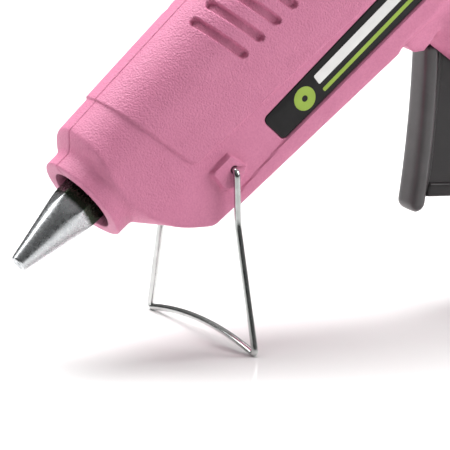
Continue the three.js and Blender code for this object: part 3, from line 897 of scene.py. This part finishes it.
# ---- trigger ----------------------------------------------------------------
LEVER = {"radius": 66.0, "rim": 4.5, "top": (114.4, -46.4), "end": (82.4, -81.1)}
LEVER_HALF = {"web": 3.5, "rail": 4.2, "fork": 4.4, "rim": 4.5, "hub": 4.8, "gap": 2.6}
WEB_CORNER = (84.9, -82.5)
FORK = [(117, -28), (120, -11.2), (127.8, -11.2), (128.2, -14), (125, -30)]
FORK_GAP = [(110, -24), (140, -24), (140, 0), (110, 0)]
FORK_SLOT = [(123.0, -17), (123.0, -5), (126.2, -5), (126.2, -17)]
HUB_RADIUS = 4.6
PIN_HOLE_RADIUS = 1.8
BAR = {
    "front": 2.7, "back": 2.6, "half": 4.8, "hollow": 0.9, "past_end": 4.0, "top_round": 1.2,
    "end_round": 2.9,
}


def about_pivot(radius, degrees):
    turn = math.radians(degrees)
    return TRIGGER_PIVOT[0] + radius * math.sin(turn), TRIGGER_PIVOT[1] - radius * math.cos(turn)


def trigger_lever():
    """Web, hub and fork. The web's lower edge runs back from the bar and then round the pivot."""
    x, z = TRIGGER_PIVOT
    along = (Vector(LEVER["end"]) - Vector(LEVER["top"])).normalized()
    back = Vector((-along.y, along.x)) * (BAR["back"] - 0.4)
    top = Vector(LEVER["top"]) + back
    end = Vector(LEVER["end"]) + back
    lower = [about_pivot(LEVER["radius"], a) for a in range(-26, 6, 2)]
    web_shape = [(116.5, -33), tuple(top), tuple(end), WEB_CORNER, *lower, (127, -60), (126, -31)]
    half = LEVER_HALF
    web = slab("web", web_shape, -half["web"], half["web"])
    bevelled(web, 0.4, 2, 60)
    inner = LEVER["radius"] - LEVER["rim"]
    corner = (WEB_CORNER[0] + 0.68 * LEVER["rim"], WEB_CORNER[1] + 0.73 * LEVER["rim"])
    band = [WEB_CORNER] + [about_pivot(LEVER["radius"], a) for a in range(-26, -9, 2)]
    band += [about_pivot(inner, a) for a in range(-10, -27, -2)] + [corner]
    rim = bevelled(slab("rim", band, -half["rim"], half["rim"]), 1.1, 5, 60)
    rail_shape = [
        tuple(top), tuple(end), (87.5, -80.0), (91.5, -76.5), (110, -56.5), (120.5, -45), (122, -34),
        (116.5, -33),
    ]
    rail = bevelled(slab("rail", rail_shape, -half["rail"], half["rail"]), 0.5, 3, 60)
    hub = bevelled(pin("hub", HUB_RADIUS, x, z, -half["hub"], half["hub"], 64), 0.4)
    fork = slab("fork", FORK, -half["fork"], half["fork"])
    lever = combine(web, "UNION", [rim, rail, hub, fork])
    return combine(lever, "DIFFERENCE", [
        slab("fork_gap", FORK_GAP, -half["gap"], half["gap"]),
        slab("fork_slot", FORK_SLOT, -9, 9),
        pin("pin_hole", PIN_HOLE_RADIUS, x, z, -10, 10),
    ])


def trigger_bar():
    """Finger bar down the trigger's front, hollowed a little along its length, with a round end."""
    top = Vector(LEVER["top"])
    along = (Vector(LEVER["end"]) - top).normalized()
    forward = Vector((along.y, -along.x))
    length = (Vector(LEVER["end"]) - top).length + BAR["past_end"]
    near_top = BAR["top_round"]
    near_end = BAR["end_round"]
    depth = (BAR["front"] + BAR["back"]) / 2
    centre = (BAR["front"] - BAR["back"]) / 2
    turns = np.linspace(0, 2 * math.pi, 72, endpoint=False)
    front = np.sign(np.cos(turns)) * np.abs(np.cos(turns)) ** 0.62
    aside = np.sign(np.sin(turns)) * np.abs(np.sin(turns)) ** 0.55
    stops = np.concatenate([
        near_top - near_top * np.cos(np.linspace(0.15, math.pi / 2, 6)),
        np.linspace(1.8, length - 3.0, 60),
        length - near_end + near_end * np.sin(np.linspace(0.1, math.pi / 2 - 0.06, 14)),
    ])
    rings = []
    for s in stops:
        top_round = math.sqrt(max(1 - (max(near_top - s, 0) / near_top) ** 2, 0.02))
        end_round = math.sqrt(max(1 - (max(s - length + near_end, 0) / near_end) ** 2, 0.0))
        sag = -BAR["hollow"] * (1 - ((s - length / 2) / (length / 2)) ** 2)
        size = depth * end_round * (0.6 + 0.4 * top_round)
        width = BAR["half"] * (0.55 + 0.45 * end_round) * (0.8 + 0.2 * top_round)
        offset = centre + sag + front * size
        base = top + along * s
        points = [base.x + forward.x * offset, aside * width, base.y + forward.y * offset]
        rings.append(np.stack(points, 1))
    return skin("bar", rings)


# ---- small pieces -----------------------------------------------------------
def label_strip(side):
    y0, y1 = sorted((side * STRIP_BACK, side * STRIP_FACE))
    return bevelled(slab("strip", strip_outline(0, 1.6), y0, y1), 0.12, 2, 60)


MARK_SUNK = 0.05
MARK_PROUD = 0.03
DISC = {"x": 68.8, "z": -19.5, "radius": 3.7, "hole": 1.0}
WIDE_BAR = [(75, -19.6), (75, -16.2), (117, -15.6), (117, -19.0)]
THIN_BAR = [(75, -22.7), (75, -21.4), (117, -20.8), (117, -22.1)]


def label_marks(side):
    """Plain printed marks: a disc, a wide bar and a thin bar under it."""
    y0, y1 = sorted((side * (STRIP_FACE - MARK_SUNK), side * (STRIP_FACE + MARK_PROUD)))
    disc = pin("disc", DISC["radius"], DISC["x"], DISC["z"], y0, y1, 64)
    hole = pin("hole", DISC["hole"], DISC["x"], DISC["z"], -30, 30, 32)
    wide = slab("wide", rounded(WIDE_BAR, 0.5), y0, y1)
    thin = slab("thin", rounded(THIN_BAR, 0.4), y0, y1)
    return combine(disc, "DIFFERENCE", [hole]), wide, thin


def inlet_collar():
    outer = COLLAR["outer"]
    flange = COLLAR["flange"]
    x0 = COLLAR["x0"]
    x1 = COLLAR["x1"]
    collar = turned("collar", [
        (COLLAR["bore"], x0), (outer, x0), (outer, 158.3), (flange, 158.3), (flange, x1), (7.2, x1),
        (COLLAR["bore"], 157),
    ])
    return bevelled(collar, 0.35, 3)


def cord_inlet():
    outer = CORD_INLET["outer"]
    bore = CORD_INLET["bore"]
    bush = turned("bush", [(bore, -5), (outer, -5), (outer, 4), (bore, 4)])
    return upright(bevelled(bush, 0.5, 4), CORD_INLET["x"], HANDLE["heel"] + 1)


# Radius and gun y up the screw's head.
SCREW_HEAD = [(2.9, 10.7), (2.9, 11.9), (2.6, 12.4), (1.9, 12.75), (1.0, 12.88), (0.4, 12.9)]


def casing_screw(x, z):
    """Pan-head self-tapping screw with a cross recess, its head towards the far side."""
    sides = 48
    turns = np.linspace(0, 2 * math.pi, sides, endpoint=False)
    screw = skin("screw", [
        np.stack([x + r * np.cos(turns), np.full(sides, y), z + r * np.sin(turns)], 1)
        for r, y in SCREW_HEAD
    ])
    cross = [
        slab("cross", [(x - a, z - b), (x + a, z - b), (x + a, z + b), (x - a, z + b)], 11.5, 14)
        for a, b in ((1.6, 0.34), (0.34, 1.6))
    ]
    shank = pin("shank", 1.4, x, z, -8.8, 11, 24)
    return combine(combine(screw, "UNION", [shank]), "DIFFERENCE", cross)


SPRING = {"start": 128.2, "end": 153.4, "height": -64.0, "radius": 3.2, "turns": 6, "wire": 0.5}


def return_spring():
    """Compression spring between the web and the back of the handle, its end turns closer together."""
    start = SPRING["start"]
    end = SPRING["end"]
    turns = SPRING["turns"]
    radius = SPRING["radius"]
    path = []
    for i in range(turns * 28 + 1):
        t = i / (turns * 28)
        angle = t * turns * 2 * math.pi
        eased = smoothstep(t, 0, 1) * 0.25 + t * 0.75
        x = start + 0.5 + (end - start - 1) * eased
        path.append((x, radius * math.cos(angle), SPRING["height"] + radius * math.sin(angle)))
    return tube("spring", path, SPRING["wire"], 12)


# ---- assembly ---------------------------------------------------------------
def fit(obj, name, slot, body, node, sharp=32):
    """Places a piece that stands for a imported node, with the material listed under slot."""
    return place(obj, name, MATERIALS[slot], body, [node], sharp)


def assemble():
    near, far = casing()
    fit(near, "casing_near", "casing", "casing", "shell_near")
    fit(far, "casing_far", "casing", "casing", "shell_far")
    for name, side in (("near", -1), ("far", 1)):
        fit(label_strip(side), f"strip_{name}", "label", "casing", f"label_strip_{name}")
        disc, wide, thin = label_marks(side)
        place(disc, f"strip_{name}_disc", MARK_GREEN, "casing")
        place(wide, f"strip_{name}_wide_bar", MARK_WHITE, "casing")
        place(thin, f"strip_{name}_thin_bar", MARK_GREEN, "casing")
    fit(nozzle(), "nozzle_tip", "nozzle_metal", "casing", "nozzle", 40)
    fit(wire_stand(), "stand_wire", "zinc_wire", "stand", "wire_stand", 50)
    fit(trigger_lever(), "trigger_lever", "trigger_plastic", "trigger", "trigger")
    fit(trigger_bar(), "trigger_bar", "trigger_grip", "trigger", "trigger_pad", 60)
    fit(inlet_collar(), "collar", "black_plastic", "casing", "inlet_collar")
    fit(cord_inlet(), "cord_bush", "black_plastic", "casing", "cord_inlet")
    for i, (x, z) in enumerate(SCREWS, 1):
        fit(casing_screw(x, z), f"screw_{i}", "steel", "casing", f"casing_screw_{i}")
    spring = fit(return_spring(), "spring", "spring_steel", "casing", "trigger_spring", 50)
    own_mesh(spring)


def finish_hidden_parts():
    """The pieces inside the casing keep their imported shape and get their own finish."""
    finishes = {
        "cast_aluminium": ["heating_chamber"],
        "ceramic": ["ptc_heater", "chamber_support_front", "chamber_support_rear"],
        "spring_steel": ["heater_clip"],
        "steel": ["sleeve_clamp", "carriage_pin", "gripper_jaw", "gripper_pin", "trigger_pin"],
        "silicone": ["inlet_sleeve", "heater_lead_near", "heater_lead_far"],
        "nylon": ["feed_carriage", "terminal_block"],
        "brass": ["terminal_screw_near", "terminal_screw_far"],
    }
    for slot, nodes in finishes.items():
        for node in nodes:
            obj = frame["nodes"][node]
            obj.data.materials.clear()
            obj.data.materials.append(MATERIALS[slot])


# ---- stage ------------------------------------------------------------------
VIEW_AZIMUTH = math.radians(-31.5)
VIEW_RISE = math.radians(16.175)
VIEW_DISTANCE = 5.5
VIEW_SCALE = 7.5556  # focal length over the sensor's width, for each metre of distance
AIM_FROM_RING = Vector((0.03495, -0.02375, -0.00687))


def camera():
    """Long lens from the nose's near side, a little above."""
    data = bpy.data.cameras.new("camera")
    data.sensor_width = 36
    data.lens = data.sensor_width * VIEW_SCALE * VIEW_DISTANCE
    obj = bpy.data.objects.new("camera", data)
    bpy.context.scene.collection.objects.link(obj)
    back = Vector((
        math.sin(VIEW_AZIMUTH) * math.cos(VIEW_RISE),
        -math.cos(VIEW_AZIMUTH) * math.cos(VIEW_RISE),
        math.sin(VIEW_RISE),
    ))
    aim = GUN.translation + AIM_FROM_RING
    obj.location = aim + back * VIEW_DISTANCE
    obj.rotation_euler = (math.pi / 2 - VIEW_RISE, 0, VIEW_AZIMUTH)
    bpy.context.scene.camera = obj


def softbox(name, stands_at, size, power):
    """Soft rectangular light aimed at the middle of the gun."""
    data = bpy.data.lights.new(name, "AREA")
    data.shape = "RECTANGLE"
    data.size, data.size_y = size
    data.energy = power
    obj = bpy.data.objects.new(name, data)
    bpy.context.scene.collection.objects.link(obj)
    obj.location = stands_at
    obj.rotation_euler = (LIGHT_AIM - Vector(stands_at)).to_track_quat("-Z", "Y").to_euler()


FLOOR_HALF = 4.0
FLOOR_THICKNESS = 0.02
LIGHT_AIM = Vector((0, 0, 0.08))
SOFTBOXES = [
    ("top_light", (0.0, 0.5, 1.35), (1.4, 1.0), 40),
    ("right_light", (1.25, -0.85, 0.9), (0.9, 0.9), 22),
    ("left_strip", (-0.9, 0.8, 0.75), (0.35, 0.8), 5),
]
# Direction on the axis, then the light there: the room is darker low down and on the left.
ROOM_LIGHT = {"Z": ((0.05, 0.75), (0.06, 0.5)), "X": ((-0.6, 0.6), (0.35, 1.25))}


def floor():
    """Pale, slightly glossy slab with its top at height 0."""
    h = FLOOR_HALF
    corners = [(-h, -h), (h, -h), (h, h), (-h, h)]
    slab_floor = skin("floor", [[(x, y, z) for x, y in corners] for z in (-FLOOR_THICKNESS, 0)])
    finish = Finish("floor_pale", specular=0.35)
    patches = finish.spread(finish.noise(400.0), 0, 1)
    finish.colour(finish.mix(patches, linear(232, 232, 232), linear(229, 229, 228)))
    finish.roughness(finish.spread(finish.noise(60.0), 0.16, 0.2))
    slab_floor.data.materials.append(finish.material)


def room():
    """Plain white surroundings whose light changes with height and from left to right."""
    world = bpy.data.worlds.new("studio")
    world.use_nodes = True
    nodes = world.node_tree.nodes
    links = world.node_tree.links
    split = nodes.new("ShaderNodeSeparateXYZ")
    links.new(nodes.new("ShaderNodeTexCoord").outputs["Generated"], split.inputs["Vector"])
    strength = nodes.new("ShaderNodeMath")
    strength.operation = "MULTIPLY"
    for i, (axis, (directions, lights)) in enumerate(ROOM_LIGHT.items()):
        ramp = nodes.new("ShaderNodeMapRange")
        ramp.inputs["From Min"].default_value, ramp.inputs["From Max"].default_value = directions
        ramp.inputs["To Min"].default_value, ramp.inputs["To Max"].default_value = lights
        links.new(split.outputs[axis], ramp.inputs["Value"])
        links.new(ramp.outputs["Result"], strength.inputs[i])
    links.new(strength.outputs["Value"], nodes["Background"].inputs["Strength"])
    nodes["Background"].inputs["Color"].default_value = (1.0, 1.0, 1.0, 1.0)
    bpy.context.scene.world = world


def stage():
    """Pale floor under soft studio light."""
    floor()
    room()
    for name, stands_at, size, power in SOFTBOXES:
        softbox(name, stands_at, size, power)
    bpy.context.scene.view_settings.view_transform = "Standard"


camera()
stage()
assemble()
finish_hidden_parts()
